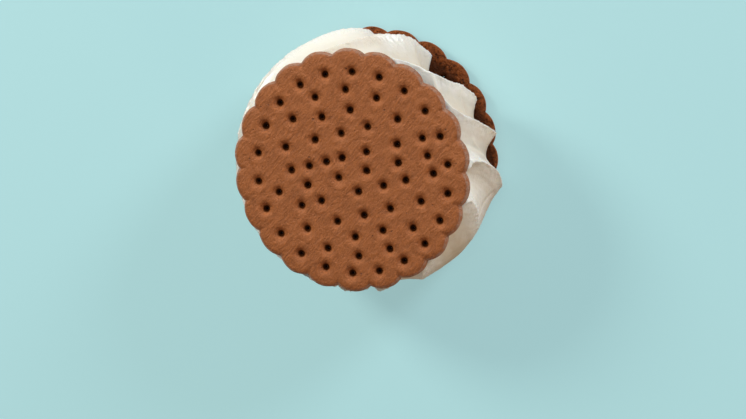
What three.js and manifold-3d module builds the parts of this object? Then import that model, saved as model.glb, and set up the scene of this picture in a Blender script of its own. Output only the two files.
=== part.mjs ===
// Ice cream sandwich: a thick swirl of soft ice cream, piped through a star nozzle, between two round
// scalloped chocolate wafers that are pricked all over with small holes. It lies flat on one wafer.
import * as THREE from 'three';
import { mergeGeometries, mergeVertices } from 'three/addons/utils/BufferGeometryUtils.js';
import Module from 'manifold-3d';

// ---- Driving dimensions, in millimetres and degrees ----
const waferDiameter = 85; // over the tips of the scallops
const valleyRadius = 40.7; // between two scallops
const scallops = 22;
const scallopTurn = 2; // the cut edge lies a little turned against the holes
const waferThickness = 3;
// The rim as pairs of a height above the inner face and how far the outline is set in there. It is widest
// low down, slopes in and turns over into the outer face.
const rimProfile = [[0, 0.3], [0.7, 0], [2.5, 0.45], [waferThickness, 1.2]];

const holeDiameter = 2;
const holeMouthDiameter = 3; // the dimple that each hole opens into
const holeMouthDepth = 0.45;
const ringHoleReach = [34.4, 35.2]; // half the width and height of the ring, a hole in each scallop
const patternShift = [0.4, -0.9]; // the holes lie a little off the middle of the wafer

const totalThickness = 35;
const bottomWaferShift = [2.1, 2]; // the bottom wafer lies a little off the top one
const bottomWaferTurn = 7.5;
// The bottom wafer spread a little out of round: how far, where (an angle on it) and over what angle.
const bottomWaferBulge = { reach: 1.2, angle: -77.5, spread: 25 };
const restingGap = 0.1; // between the ice cream and each wafer

const neckRadius = 41.8; // the ice cream where it meets the top wafer
const bellyHeight = 0.45; // fraction of the height at which it bulges most

// Rows of holes inside the ring: the height of the row and the places along it.
const holeRows = [
  { y: 28.4, x: [-5.7, 5.7] },
  { y: 23.0, x: [-15.7, 15.7] },
  { y: 21.2, x: [-5.3, 5.3] },
  { y: 14.2, x: [-21, -9.9, 0, 9.9, 21] },
  { y: 5.9, x: [-21.2, -14.5, -8, -2.2, 7, 18.4, 27.8] },
  { y: -0.4, x: [-27.9, -17, -5.2, 5.2, 17, 27.9] },
  { y: -6.8, x: [-21, -13.6, 0.3, 9.7, 18, 28.2] },
  { y: -15.1, x: [-21.3, -9.9, 0, 9.9, 21.3] },
  { y: -21.8, x: [-5.2, 5.2] },
  { y: -23.4, x: [-16, 16] },
  { y: -28.6, x: [-5.8, 5.8] },
];

// The ridges on the shown side of the swirl, clockwise. Each starts from a toe on the bottom wafer and
// winds up to the top one along `path`, which pairs fractions of the height with angles. It reaches out
// `toe` at the bottom and `belly` in the middle. `notch` says how far towards the next ridge the channel
// below it is deepest, at the bottom and higher up, and `depth` how deep it is at the bottom, in the
// middle and at the top. The larger `hollow`, the broader is the floor of the channel.
const shownRidges = [
  {
    path: [[0, 79.3], [0.25, 86], [0.5, 97], [0.75, 112], [0.9, 128], [1, 152]],
    toe: 42.2, belly: 45.6, notch: [0.5, 0.55], depth: [4.8, 3.6, 2.4], hollow: 1.4,
  },
  {
    path: [[0, 45.2], [0.1, 52], [0.3, 56.2], [0.45, 61.2], [0.65, 69.4], [0.8, 73.4], [0.91, 79.5], [1, 88]],
    toe: 38.7, belly: 44.9, notch: [0.14, 0.6], depth: [6.6, 7.8, 2.6], hollow: 3.2,
  },
  {
    path: [[0, 12], [0.38, 18.4], [0.57, 24.6], [0.78, 32], [0.94, 46], [1, 53]],
    toe: 38.8, belly: 43.8, notch: [0.62, 0.6], depth: [5.2, 5.2, 4], hollow: 1.4,
  },
  {
    path: [[0, -5.5], [0.23, -3.6], [0.46, 0.4], [0.77, 7.6], [0.95, 15], [1, 18.5]],
    toe: 42.4, belly: 45.6, notch: [0.49, 0.52], depth: [5.4, 5.4, 5], hollow: 1.4,
  },
  {
    path: [[0, -30], [0.45, -18.7], [0.71, -13.6], [0.86, -10.8], [1, -12.6]],
    toe: 45.4, belly: 46.7, notch: [0.45, 0.4], depth: [1.2, 2.6, 5], hollow: 1.2,
  },
  {
    path: [[0, -51], [0.45, -45], [0.7, -36.4], [0.88, -30], [1, -29]],
    toe: 44.1, belly: 45.5, notch: [0.45, 0.5], depth: [-0.9, 0.1, 4.4], hollow: 1,
  },
  {
    path: [[0, -84], [0.4, -80.5], [0.8, -75], [1, -69]],
    toe: 44.9, belly: 46, notch: [0.45, 0.5], depth: [2.6, 2.4, 2.4], hollow: 1.2,
  },
];
// The ridges round the rest of the swirl follow on from the last shown one. The larger `late`, the higher
// up a ridge turns; `hookShare` of its turn it makes just under the top wafer. Each differs a little from
// these values, by up to `unevenness`.
const otherRidges = {
  count: 8,
  foot: [-104, -261],
  head: [-86, -189],
  late: 1.5,
  hookShare: 0.3,
  hookPower: 12,
  pathHeights: [0, 0.2, 0.4, 0.6, 0.8, 0.9, 1],
  toe: 42.4,
  belly: 45.4,
  notch: [0.45, 0.6],
  depth: [5, 4.6, 2.8],
  hollow: 1.5,
  unevenness: { foot: 3, head: 2, late: 0.3, toe: 1.2, belly: 0.5, notch: 0.08, depth: 0.5 },
};
const neckPower = 2.5; // how late a ridge draws in to the neck
const notchSettles = [0.05, 0.5]; // between these heights the deepest line moves to its upper place
const channelSwells = [0.6, 0.92]; // between these heights the hollow flank turns into a swollen one

// ---- Mesh fineness ----
const stepsPerScallop = 4;
const holeSides = 6;
const stepsPerChannel = 10;
const swirlRows = 16;

const colours = { wafer: 0x6e3a22, cream: 0xf2ece0 };

const wasm = await Module();
wasm.setup();

// A source of repeatable random numbers between -1 and 1.
function seededRandom(seed) {
  let state = seed;
  return () => {
    state = (state * 48271) % 2147483647;
    return (2 * state) / 2147483647 - 1;
  };
}

const { lerp, smoothstep, degToRad: radians } = THREE.MathUtils;

// Closes a stack of rings, each listed counter-clockwise from the bottom ring up, into one solid.
function solidFromRings(rings) {
  const around = rings[0].length;
  const positions = rings.flat(2);
  const index = [];
  for (let row = 0; row + 1 < rings.length; row += 1) {
    for (let i = 0; i < around; i += 1) {
      const next = (i + 1) % around;
      const lower = [row * around + i, row * around + next];
      const upper = [lower[0] + around, lower[1] + around];
      index.push(lower[0], lower[1], upper[0], lower[1], upper[1], upper[0]);
    }
  }
  const last = (rings.length - 1) * around;
  for (const [a, b, c] of capTriangles(rings[0])) index.push(a, c, b);
  for (const [a, b, c] of capTriangles(rings.at(-1))) index.push(last + a, last + b, last + c);
  const geometry = new THREE.BufferGeometry();
  geometry.setAttribute('position', new THREE.Float32BufferAttribute(positions, 3));
  geometry.setIndex(index);
  return geometry;
}

function capTriangles(ring) {
  const outline = ring.map(([x, y]) => new THREE.Vector2(x, y));
  return THREE.ShapeUtils.triangulateShape(outline, []);
}

// ---- Wafer ----

// Radius of the scalloped outline, set in by `inset`, at an angle counted from a scallop's middle.
function scallopReach(angle, inset) {
  const outer = waferDiameter / 2;
  const half = Math.PI / scallops;
  const centre = (outer ** 2 - valleyRadius ** 2) / (2 * (outer - valleyRadius * Math.cos(half)));
  const arc = outer - centre - inset;
  return centre * Math.cos(angle) + Math.sqrt(arc ** 2 - (centre * Math.sin(angle)) ** 2);
}

// How far a bulging rim reaches out at an angle. A rim without a bulge is given none.
function bulgeAt(angle, bulge) {
  if (!bulge) return 0;
  const off = angle - radians(bulge.angle);
  const nearest = Math.atan2(Math.sin(off), Math.cos(off));
  return bulge.reach * Math.exp(-((nearest / radians(bulge.spread)) ** 2));
}

function scallopRing(z, inset, bulge) {
  const ring = [];
  const pitch = (2 * Math.PI) / scallops;
  for (let scallop = 0; scallop < scallops; scallop += 1) {
    for (let step = 0; step < stepsPerScallop; step += 1) {
      const local = pitch * (step / stepsPerScallop - 0.5);
      const angle = Math.PI / 2 + radians(scallopTurn) + scallop * pitch + local;
      const reach = scallopReach(local, inset) + bulgeAt(angle, bulge);
      ring.push([reach * Math.cos(angle), reach * Math.sin(angle), z]);
    }
  }
  return ring;
}

function holePlaces() {
  const places = holeRows.flatMap(({ y, x }) => x.map((along) => [along, y]));
  for (let scallop = 0; scallop < scallops; scallop += 1) {
    const angle = Math.PI / 2 + (2 * Math.PI * scallop) / scallops;
    places.push([ringHoleReach[0] * Math.cos(angle), ringHoleReach[1] * Math.sin(angle)]);
  }
  return places.map(([x, y]) => [x + patternShift[0], y + patternShift[1]]);
}

// A pin with a flared head, which cuts one hole and its dimple.
function holeCutter([x, y]) {
  const bore = holeDiameter / 2;
  const slope = (holeMouthDiameter / 2 - bore) / holeMouthDepth;
  const above = 1;
  const profile = [
    new THREE.Vector2(0, -above),
    new THREE.Vector2(bore, -above),
    new THREE.Vector2(bore, waferThickness - holeMouthDepth),
    new THREE.Vector2(bore + slope * (holeMouthDepth + above), waferThickness + above),
    new THREE.Vector2(0, waferThickness + above),
  ];
  const cutter = new THREE.LatheGeometry(profile, holeSides);
  cutter.rotateX(Math.PI / 2);
  cutter.translate(x, y, 0);
  return cutter;
}

function toManifold(geometry) {
  const bare = geometry.clone();
  bare.deleteAttribute('normal');
  bare.deleteAttribute('uv');
  const merged = mergeVertices(bare, 1e-4);
  const solid = new wasm.Mesh({
    numProp: 3,
    vertProperties: new Float32Array(merged.attributes.position.array),
    triVerts: new Uint32Array(merged.index.array),
  });
  return new wasm.Manifold(solid);
}

function fromManifold(solid) {
  const mesh = solid.getMesh();
  const geometry = new THREE.BufferGeometry();
  geometry.setAttribute('position', new THREE.BufferAttribute(mesh.vertProperties, 3));
  geometry.setIndex(new THREE.BufferAttribute(mesh.triVerts, 1));
  return geometry;
}

// The outer face is the upper one.
function waferGeometry(bulge) {
  const slab = solidFromRings(rimProfile.map(([z, inset]) => scallopRing(z, inset, bulge)));
  const cutters = mergeGeometries(holePlaces().map(holeCutter));
  return fromManifold(toManifold(slab).subtract(toManifold(cutters)));
}

// ---- Ice cream ----

function allRidges() {
  const random = seededRandom(11);
  const { count, foot, head, hookShare, hookPower, unevenness: uneven, ...same } = otherRidges;
  const ridges = [...shownRidges];
  for (let i = 0; i < count; i += 1) {
    const along = i / (count - 1);
    const start = lerp(foot[0], foot[1], along) + uneven.foot * random();
    const end = lerp(head[0], head[1], along) + uneven.head * random();
    const late = same.late + uneven.late * random();
    const turnAt = (height) => (1 - hookShare) * height ** late + hookShare * height ** hookPower;
    ridges.push({
      path: same.pathHeights.map((height) => [height, lerp(start, end, turnAt(height))]),
      toe: same.toe + uneven.toe * random(),
      belly: same.belly + uneven.belly * random(),
      notch: [same.notch[0], same.notch[1] + uneven.notch * random()],
      depth: same.depth.map((value) => value + uneven.depth * random()),
      hollow: same.hollow,
    });
  }
  return ridges;
}

// A smooth curve through pairs of a height and a value.
function alongPath(path, height) {
  const last = path.length - 1;
  const i = Math.min(path.findLastIndex(([start]) => start <= height), last - 1);
  const steepness = (a, b) => (path[b][1] - path[a][1]) / (path[b][0] - path[a][0]);
  const [before, after] = [Math.max(i - 1, 0), Math.min(i + 2, last)];
  const gap = path[i + 1][0] - path[i][0];
  const t = (height - path[i][0]) / gap;
  return (
    path[i][1] * (2 * t ** 3 - 3 * t ** 2 + 1) +
    path[i + 1][1] * (3 * t ** 2 - 2 * t ** 3) +
    gap * steepness(before, i + 1) * (t ** 3 - 2 * t ** 2 + t) +
    gap * steepness(i, after) * (t ** 3 - t ** 2)
  );
}

// Where a ridge's crest is at a fraction of the height: its angle in degrees and how far it reaches.
function crestAt(ridge, height) {
  const below = Math.max(0, 1 - height / bellyHeight);
  const above = Math.max(0, (height - bellyHeight) / (1 - bellyHeight));
  const { toe, belly } = ridge;
  const drawnIn = (belly - toe) * below ** 2 + (belly - neckRadius) * above ** neckPower;
  return { angle: alongPath(ridge.path, height), reach: belly - drawnIn };
}

// How much of its depth a channel has: it drops steeply below a crest and rises to the next one, more
// swollen near the top wafer.
function channelShare(ridge, across, height) {
  const [lowNotch, highNotch] = ridge.notch;
  const notch = lerp(lowNotch, highNotch, smoothstep(height, ...notchSettles));
  if (across < notch) return Math.sin(((across / notch) * Math.PI) / 2);
  const rest = (1 - across) / (1 - notch);
  const hollow = 1 - (1 - rest) ** ridge.hollow;
  const swollen = smoothstep(rest, 0, 1);
  return lerp(hollow, swollen, smoothstep(height, ...channelSwells));
}

// The outline of the swirl at a fraction of its height: a crest at each ridge, hollow channels between.
function swirlRing(ridges, height) {
  const ring = [];
  const centre = bottomWaferShift.map((shift) => shift * (1 - height));
  const z = lerp(waferThickness + restingGap, totalThickness - waferThickness - restingGap, height);
  ridges.forEach((ridge, i) => {
    const here = crestAt(ridge, height);
    const wraps = i === ridges.length - 1;
    const next = crestAt(ridges[(i + 1) % ridges.length], height);
    const nextAngle = next.angle - (wraps ? 360 : 0);
    const [low, middle, high] = ridge.depth;
    const depth = alongPath([[0, low], [0.5, middle], [1, high]], height);
    for (let step = 0; step < stepsPerChannel; step += 1) {
      const across = step / stepsPerChannel;
      const sunk = depth * channelShare(ridge, across, height);
      const reach = lerp(here.reach, next.reach, across) - sunk;
      const angle = radians(lerp(here.angle, nextAngle, across));
      ring.push([centre[0] + reach * Math.cos(angle), centre[1] + reach * Math.sin(angle), z]);
    }
  });
  return ring.reverse();
}

function swirlGeometry() {
  const ridges = allRidges();
  const rings = [];
  for (let row = 0; row <= swirlRows; row += 1) rings.push(swirlRing(ridges, row / swirlRows));
  return solidFromRings(rings);
}

// ---- Assembly ----

function namedMesh(name, geometry, colour, roughness) {
  geometry.computeVertexNormals();
  const material = new THREE.MeshStandardMaterial({ color: colour, roughness, metalness: 0 });
  const mesh = new THREE.Mesh(geometry, material);
  mesh.name = name;
  return mesh;
}

const topWafer = namedMesh('wafer_top', waferGeometry(), colours.wafer, 0.8);
topWafer.position.z = totalThickness - waferThickness;

const bottomWafer = namedMesh('wafer_bottom', waferGeometry(bottomWaferBulge), colours.wafer, 0.8);
bottomWafer.rotation.set(Math.PI, 0, radians(bottomWaferTurn), 'ZYX');
bottomWafer.position.set(...bottomWaferShift, waferThickness);

const iceCream = namedMesh('ice_cream', swirlGeometry(), colours.cream, 0.45);

// The whole stands with the middle of its box over the origin.
const sandwich = new THREE.Group();
sandwich.add(bottomWafer, iceCream, topWafer);
sandwich.updateMatrixWorld(true);
const middle = new THREE.Box3().setFromObject(sandwich, true).getCenter(new THREE.Vector3());
sandwich.position.set(-middle.x, -middle.y, 0);

export default sandwich;
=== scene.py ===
"""Dresses the ice cream sandwich: two pricked chocolate wafers and the swirl between them.

Everything is in metres and in the frame of the CAD model. The wafers are described lying at the origin
with the outer face up; the swirl is described by rings that go round it from bottom to top.
"""
import math

import bpy
import numpy as np
from mathutils import Matrix, Vector
from mathutils.geometry import delaunay_2d_cdt


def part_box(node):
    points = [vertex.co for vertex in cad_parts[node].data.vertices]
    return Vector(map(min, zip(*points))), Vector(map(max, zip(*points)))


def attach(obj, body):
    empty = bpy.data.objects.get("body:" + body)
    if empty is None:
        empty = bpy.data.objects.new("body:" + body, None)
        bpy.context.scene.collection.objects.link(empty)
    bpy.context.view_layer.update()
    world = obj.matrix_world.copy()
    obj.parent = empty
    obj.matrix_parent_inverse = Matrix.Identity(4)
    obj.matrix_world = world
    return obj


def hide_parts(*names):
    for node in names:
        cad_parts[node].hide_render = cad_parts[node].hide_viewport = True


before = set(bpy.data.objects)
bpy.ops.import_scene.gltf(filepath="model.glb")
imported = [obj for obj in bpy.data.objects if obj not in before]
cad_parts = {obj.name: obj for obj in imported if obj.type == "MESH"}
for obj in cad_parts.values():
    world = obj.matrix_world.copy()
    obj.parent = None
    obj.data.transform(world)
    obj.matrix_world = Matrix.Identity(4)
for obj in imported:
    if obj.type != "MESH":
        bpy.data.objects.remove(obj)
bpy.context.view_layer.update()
WAFER_LOW, WAFER_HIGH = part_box("wafer_top")
BOTTOM_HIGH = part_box("wafer_bottom")[1]
CREAM_LOW, CREAM_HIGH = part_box("ice_cream")

bl_info = {
    "name": "Ice Cream Sandwich",
    "version": (1, 0, 0),
    "blender": (4, 5, 0),
    "location": "View3D > Sidebar > Sandwich",
    "description": "Builds a swirl of ice cream between two pricked chocolate wafers",
    "category": "Add Mesh",
}

MM = 0.001

# ---- What repeats on the wafers ----

# Rows of holes inside the ring: the height of the row and the places along it, in millimetres.
HOLE_ROWS = [
    (28.4, [-5.7, 5.7]),
    (23.0, [-15.7, 15.7]),
    (21.2, [-5.3, 5.3]),
    (14.2, [-21, -9.9, 0, 9.9, 21]),
    (5.9, [-21.2, -14.5, -8, -2.2, 7, 18.4, 27.8]),
    (-0.4, [-27.9, -17, -5.2, 5.2, 17, 27.9]),
    (-6.8, [-21, -13.6, 0.3, 9.7, 18, 28.2]),
    (-15.1, [-21.3, -9.9, 0, 9.9, 21.3]),
    (-21.8, [-5.2, 5.2]),
    (-23.4, [-16, 16]),
    (-28.6, [-5.8, 5.8]),
]

# The rim from the outer face to the inner one: depth below the outer face and how far it is set in.
RIM_PROFILE = [
    (0.0, 1.7), (0.03, 1.36), (0.1, 1.06), (0.22, 0.8), (0.4, 0.56), (0.65, 0.36), (0.95, 0.21),
    (1.3, 0.11), (1.7, 0.04), (2.1, 0.01), (2.4, 0.0), (2.68, 0.08), (2.85, 0.3), (2.95, 0.6),
    (3.0, 1.0),
]

# The wall of one hole from the outer face to the inner one: radius and depth below the outer face.
COLLAR_PROFILE = [
    (2.2, 0.0), (1.95, 0.0), (1.7, 0.0), (1.5, 0.0), (1.32, 0.0), (1.18, 0.0), (1.08, 0.02),
    (1.02, 0.1), (0.98, 0.3), (0.88, 0.8), (0.7, 1.4), (0.45, 2.0), (0.14, 2.6), (0.2, 2.95),
    (0.7, 3.0), (1.6, 3.0), (2.2, 3.0),
]
BORE_RADIUS = 0.98 * MM  # where that wall turns straight down; the dimple is deepest there
COLLAR_SIDES = 24

# The middle of the wafers, and how far the bottom one is off it. It bulges out of round on one side.
TOP_CENTRE = (WAFER_LOW + WAFER_HIGH) / 2
BOTTOM_CENTRE = TOP_CENTRE + Vector((2.1, 2.0, 0)) * MM
BULGE_REACH = 1.2 * MM
BULGE_ANGLE, BULGE_SPREAD = math.radians(-77.5), math.radians(25)
BULGE_RIM = 37 * MM, 41 * MM  # only what lies beyond these radii is drawn out

# How far out the inner side of the bottom wafer is painted dark, a painted shade under the swirl, and how
# much further on one side.
PAINTED_SHADE_REACH, PAINTED_SHADE_FURTHER = 37.4 * MM, 5.2 * MM
PAINTED_SHADE_ANGLE, PAINTED_SHADE_SPREAD = math.radians(-20), math.radians(24)
PAINTED_SHADE_FADE = -1 * MM, 2 * MM

# ---- How the swirl winds ----

# The ridges on the shown side, clockwise. `path` gives height and angle along a crest, from its toe on
# the bottom wafer up to the top one. The crest reaches out `toe` at the bottom and `belly` where the
# swirl is widest. `depth` is how deep the channel below it is at the bottom, in the middle and at the
# top, and `notch` how far towards the next ridge it is deepest, at the bottom and higher up.
SHOWN_RIDGES = [
    {"path": [(0, 79.3), (0.25, 86), (0.5, 97), (0.75, 112), (0.9, 128), (1, 152)],
     "toe": 42.2, "belly": 45.6, "notch": (0.5, 0.55), "depth": (4.8, 3.6, 2.4), "rise": 1.4},
    {"path": [(0, 45.2), (0.1, 52), (0.3, 56.2), (0.45, 61.2), (0.55, 65.4), (0.65, 69.4), (0.8, 73.4),
              (0.91, 79.5), (1, 88)],
     "toe": 38.7, "belly": 44.9, "notch": (0.14, 0.6), "depth": (6.6, 7.8, 2.6), "rise": 3.2},
    {"path": [(0, 12.0), (0.2, 14.3), (0.38, 18.4), (0.48, 22.6), (0.57, 24.6), (0.67, 27), (0.78, 32),
              (0.87, 37.5), (0.94, 46), (1, 53)],
     "toe": 38.8, "belly": 43.8, "notch": (0.62, 0.6), "depth": (5.2, 5.2, 4.0), "rise": 1.4},
    {"path": [(0, -5.5), (0.23, -3.6), (0.46, 0.4), (0.6, 3.2), (0.77, 7.6), (0.88, 10.6),
              (0.95, 15), (1, 18.5)],
     "toe": 42.4, "belly": 45.6, "notch": (0.49, 0.52), "depth": (5.4, 5.4, 5.0), "rise": 1.4},
    {"path": [(0, -30), (0.2, -25.3), (0.45, -18.7), (0.71, -13.6), (0.86, -10.8), (0.95, -10.4),
              (1, -12.6)],
     "toe": 45.4, "belly": 46.7, "notch": (0.45, 0.4), "depth": (1.2, 2.6, 5.0), "rise": 1.2},
    {"path": [(0, -51), (0.45, -45), (0.7, -36.4), (0.88, -30), (0.96, -28.2), (1, -29)],
     "toe": 44.1, "belly": 45.5, "notch": (0.45, 0.5), "depth": (-0.9, 0.1, 4.4), "rise": 1.0},
    {"path": [(0, -84), (0.4, -80.5), (0.8, -75), (1, -69)],
     "toe": 44.9, "belly": 46.0, "notch": (0.45, 0.5), "depth": (2.6, 2.4, 2.4), "rise": 1.2},
]

# Small folds and creases within a channel: the line as (share of the way across, height) pairs, how far
# it stands out (or sinks in) and how broad it is, in millimetres.
SMALL_FOLDS = [
    {"channel": 2, "line": [(-0.02, 0.86), (0.25, 0.865), (0.5, 0.885), (0.9, 1.0)],
     "height": 1.3, "width": 0.9},
    {"channel": 2, "line": [(0.1, 0.94), (0.35, 0.935), (0.65, 0.985)], "height": -1.8, "width": 1.3},
    {"channel": 2, "line": [(0.1, 0.79), (0.35, 0.8), (0.6, 0.83), (0.95, 0.95)],
     "height": -0.9, "width": 1.1},
    {"channel": 2, "line": [(0.1, 0.55), (0.3, 0.53), (0.5, 0.52), (0.72, 0.56)],
     "height": 0.6, "width": 0.9},
    {"channel": 3, "line": [(0.4, 0.66), (0.52, 0.54), (0.62, 0.4)], "height": 0.6, "width": 1.0},
    {"channel": 4, "line": [(0.3, 0.24), (0.66, 0.5), (0.98, 0.6)], "height": -0.4, "width": 0.7},
]

# The ridges round the rest of the swirl follow on from the last shown one.
OTHER_RIDGES = {
    "count": 8, "foot": (-104, -261), "head": (-86, -189), "late": 1.5, "hook_share": 0.3,
    "hook_power": 12, "heights": (0, 0.2, 0.4, 0.6, 0.8, 0.9, 1), "toe": 42.4, "belly": 45.4,
    "notch": (0.45, 0.6), "depth": (5.0, 4.6, 2.8), "rise": 1.5,
}
# How far each of them may differ from these values.
UNEVENNESS = {"foot": 3, "head": 2, "late": 0.3, "toe": 1.2, "belly": 0.5, "notch": 0.08, "depth": 0.5}
NECK_REACH = 41.8
NECK_POWER = 2.5  # how late a ridge draws in to the neck
BELLY_HEIGHT = 0.45
NOTCH_SETTLES = 0.05, 0.5  # between these heights the deepest line moves to its upper place
CHANNEL_SWELLS = 0.6, 0.92  # between these heights the hollow flank turns into a swollen one
CHANNEL_WIDTH = 12.0
CHANNEL_STEPS = 40
SWIRL_ROWS = 128
SWIRL_HEIGHT = (CREAM_HIGH.z - CREAM_LOW.z) / MM

RIDGE_SEED, FLOW_SEED, CREAM_SEED = 11, 5, 0.0
FLOW_DEPTH = 0.2
FLOW_COUNTS = (3, 5, 7, 11, 15)  # lines across a channel
FOLD_POWER = 1.4  # how sharply a small fold stands out
BEAD_HEIGHT, BEAD_WIDTH, BEAD_POWER = 0.35, 0.5, 1.2  # the bead that runs along each crest
BLUNT_RIDGES = (5, 6)
BLUNT_BELOW = 0.65, 0.85  # their bead fades out downwards between these heights
CREST_CLEAR = 0.6  # small folds and flow lines fade out this close to a crest
CREST_NARROWNESS = 2.2  # how soon a crest, torn and wet, gives way to the flank
END_RINGS = (0.985, 0.94, 0.8, 0.5)  # the level ends: rings this far out from the middle
HELD_ENDS = 0.985, 0.02  # above and below these heights the surface is left smooth

# Painted shade: how strongly the hollows of the shown channels, and of the others, are painted in the
# warm shade colour.
# One channel is also painted with shade close under its crest, high up.
CHANNEL_PAINTED_SHADE = (0.35, 1.0, 0.9, 0.6, 0.5, 1.2, 1.0)
OTHER_PAINTED_SHADE = 0.8
SHADED_CREST, SHADED_CREST_FROM, SHADED_CREST_WIDTH, SHADED_CREST_SHARE = 1, (0.5, 0.68), 0.2, 1.25


# ---- Settings ----

def length(name, description, millimetres):
    return bpy.props.FloatProperty(name=name, description=description, default=millimetres * MM,
                                   unit="LENGTH", subtype="DISTANCE")


def two_lengths(name, description, millimetres):
    return bpy.props.FloatVectorProperty(
        name=name, description=description, default=[value * MM for value in millimetres], size=2,
        unit="LENGTH", subtype="XYZ_LENGTH")


def turn(name, description, degrees):
    return bpy.props.FloatProperty(name=name, description=description, default=math.radians(degrees),
                                   unit="ROTATION", subtype="ANGLE")


def tint(name, description, colour):
    return bpy.props.FloatVectorProperty(name=name, description=description, default=colour, size=3,
                                         subtype="COLOR")


def lamp_power(name, description, watts):
    return bpy.props.FloatProperty(name=name, description=description, default=watts, unit="POWER")


class WaferSettings(bpy.types.PropertyGroup):
    diameter: length("Diameter", "Over the tips of the scallops", 85)
    valley_radius: length("Valley Radius", "From the middle to the rim between two scallops", 40.7)
    scallops: bpy.props.IntProperty(
        name="Scallops", description="Number of scallops round the rim", default=22, min=3)
    scallop_turn: turn("Scallop Turn", "How far the cut edge is turned against the holes", 2)
    thickness: length("Thickness", "Thickness of a wafer", (WAFER_HIGH.z - WAFER_LOW.z) / MM)
    bottom_turn: turn("Bottom Turn", "How far the bottom wafer is turned against the top one", 7.5)
    ring_reach: two_lengths("Ring Reach", "Half the width and height of the outer ring of holes",
                            (34.4, 35.2))
    pattern_shift: two_lengths("Pattern Shift", "How far the holes lie off the middle of the wafer",
                               (0.4, -0.9))
    dimple_reach: length("Dimple Reach", "From the middle of a hole to the edge of its dimple", 3.3)
    dimple_depth: length("Dimple Depth", "How deep the dough is drawn in at a hole", 1.2)
    swell_height: length("Swell Height", "How much the baked face rises and falls", 0.42)
    valley_crease: length("Valley Crease", "Depth of the crease that runs in from each valley", 0.4)
    crust_colour: tint("Crust", "Colour of the baked outer face", (0.41, 0.1235, 0.029))
    crumb_colour: tint("Crumb", "Colour of the rough inner face", (0.165, 0.043, 0.0105))
    # Partly flour, partly a painted sheen: the rim wall is painted pale.
    wall_flour_and_sheen: tint("Wall", "Colour of the pale, dry wall of the rim", (0.43, 0.235, 0.155))
    # Painted shade: the holes and their mouths are painted nearly black.
    hole_shade_colour: tint("Holes", "Colour inside the holes", (0.030, 0.009, 0.004))


class CreamSettings(bpy.types.PropertyGroup):
    ragged_height: length("Ragged Height", "How uneven the crests are torn", 1.2)
    surface_height: length("Surface Height", "How uneven the smooth flanks are", 0.22)
    colour: tint("Cream", "Colour of the ice cream", (0.868, 0.866, 0.812))
    # Painted shade: the colour painted deep into the channels.
    shade_colour: tint("Hollows", "Colour of the ice cream deep in the channels", (0.72, 0.635, 0.50))


class StageSettings(bpy.types.PropertyGroup):
    floor_colour: tint("Floor", "Colour of the plain floor", (0.49, 0.805, 0.835))
    floor_glow: bpy.props.FloatProperty(
        name="Floor Glow", description="Share of the floor's brightness that no shadow dims",
        default=0.53, subtype="FACTOR")
    bounce_colour: tint("Bounce", "Colour of the light that the floor throws back", (0.52, 0.46, 0.38))
    key_power: lamp_power("Key Light", "Power of the soft lamp at the upper left", 9.5)
    low_power: lamp_power("Low Light", "Power of the weak warm lamp at the lower right", 2.6)
    fill_power: lamp_power("Fill Light", "Power of the cool lamp at the upper right", 9.5)
    sky_strength: bpy.props.FloatProperty(
        name="Sky", description="Brightness of the even light from all round", default=0.16)
    lens: bpy.props.FloatProperty(
        name="Lens", description="Focal length of the camera, in millimetres", default=144.77,
        unit="CAMERA")


# ---- Node trees ----

def fill_in(tree, node, inputs):
    """Sets a node's inputs, each to a value or joined to a socket."""
    for key, value in inputs.items():
        if isinstance(value, bpy.types.NodeSocket):
            tree.links.new(value, node.inputs[key])
        else:
            node.inputs[key].default_value = value


def add_node(tree, kind, inputs=None, **settings):
    node = tree.nodes.new(kind)
    for key, value in settings.items():
        setattr(node, key, value)
    fill_in(tree, node, inputs or {})
    return node


def calculate(operation, *values, clamp=False):
    """Works on sockets and numbers, in the tree of the first socket among them."""
    tree = next(value.id_data for value in values if isinstance(value, bpy.types.NodeSocket))
    node = add_node(tree, "ShaderNodeMath", dict(enumerate(values)), operation=operation,
                    use_clamp=clamp)
    return node.outputs[0]


def plus(first, second):
    return calculate("ADD", first, second)


def minus(first, second):
    return calculate("SUBTRACT", first, second)


def times(first, second):
    return calculate("MULTIPLY", first, second)


def times_plus(first, second, third):
    return calculate("MULTIPLY_ADD", first, second, third)


def over(first, second):
    return calculate("DIVIDE", first, second)


def on_vectors(operation, first, second):
    inputs = {0: first, "Scale" if operation == "SCALE" else 1: second}
    return add_node(first.id_data, "ShaderNodeVectorMath", inputs, operation=operation).outputs[0]


def remap(value, low, high, to_low=0.0, to_high=1.0):
    """Takes a value smoothly from one range to another; beyond its ends it stays level."""
    inputs = {0: value, 1: low, 2: high, 3: to_low, 4: to_high}
    node = add_node(value.id_data, "ShaderNodeMapRange", inputs, interpolation_type="SMOOTHSTEP")
    return node.outputs[0]


def mix(share, first, second):
    return add_node(share.id_data, "ShaderNodeMix", {0: share, 2: first, 3: second}).outputs[0]


def blend(share, *colours):
    """Mixes two colours, each given as a socket or as its red, green and blue."""
    first, second = (c if isinstance(c, bpy.types.NodeSocket) else (*c, 1.0) for c in colours)
    inputs = {0: share, 6: first, 7: second}
    return add_node(share.id_data, "ShaderNodeMix", inputs, data_type="RGBA").outputs[2]


def add_sockets(tree, inputs, output, output_kind):
    """Gives a node group its named inputs, each by its default or its kind, and its one output."""
    for name, given in inputs.items():
        kind = given if isinstance(given, str) else "Float"
        socket = tree.interface.new_socket(name, in_out="INPUT", socket_type="NodeSocket" + kind)
        if kind == "Float":
            socket.default_value = given
    tree.interface.new_socket(output, in_out="OUTPUT", socket_type="NodeSocket" + output_kind)
    return tree.nodes.new("NodeGroupInput").outputs, tree.nodes.new("NodeGroupOutput").inputs[0]


# ---- Effects that several finishes share ----

def new_effect(name, inputs, output):
    tree = bpy.data.node_groups.new(name, "ShaderNodeTree")
    return tree, *add_sockets(tree, {"Vector": "Vector", **inputs}, output, "Float")


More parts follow.
